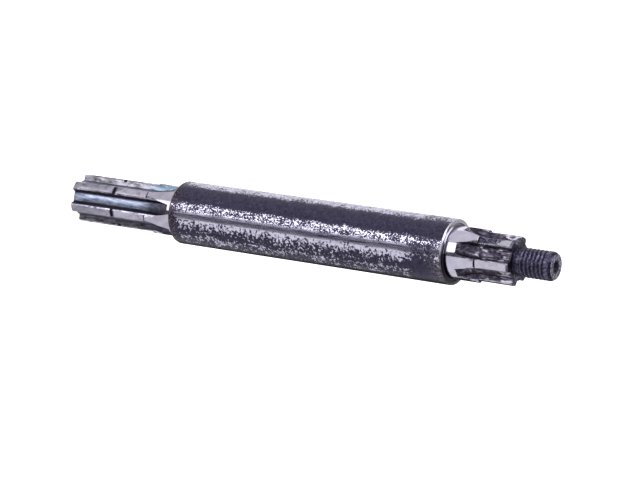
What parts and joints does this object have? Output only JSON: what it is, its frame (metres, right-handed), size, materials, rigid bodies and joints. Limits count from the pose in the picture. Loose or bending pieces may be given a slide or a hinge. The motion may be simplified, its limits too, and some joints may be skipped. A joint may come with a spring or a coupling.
{
  "type": "splined shaft",
  "caption": "Plain round steel bar turned down at both ends to ground bearing seats and straight-sided splines, with a ring groove across the long spline and a thread past the short one.",
  "frame": {"origin": "centre of the long spline's end face, which is the lowest face", "axes": "+Z along the shaft from the long spline to the thread, +X through the middle of a tooth of the long spline"},
  "size_m": [0.05, 0.05, 0.429],
  "materials": {
    "steel": "dark mill scale on the bar, ground on the seats and teeth, oily and worn in the short spline's grooves and on the thread"
  },
  "bodies": {
    "root": {"shaft": "steel"}
  },
  "joints": []
}
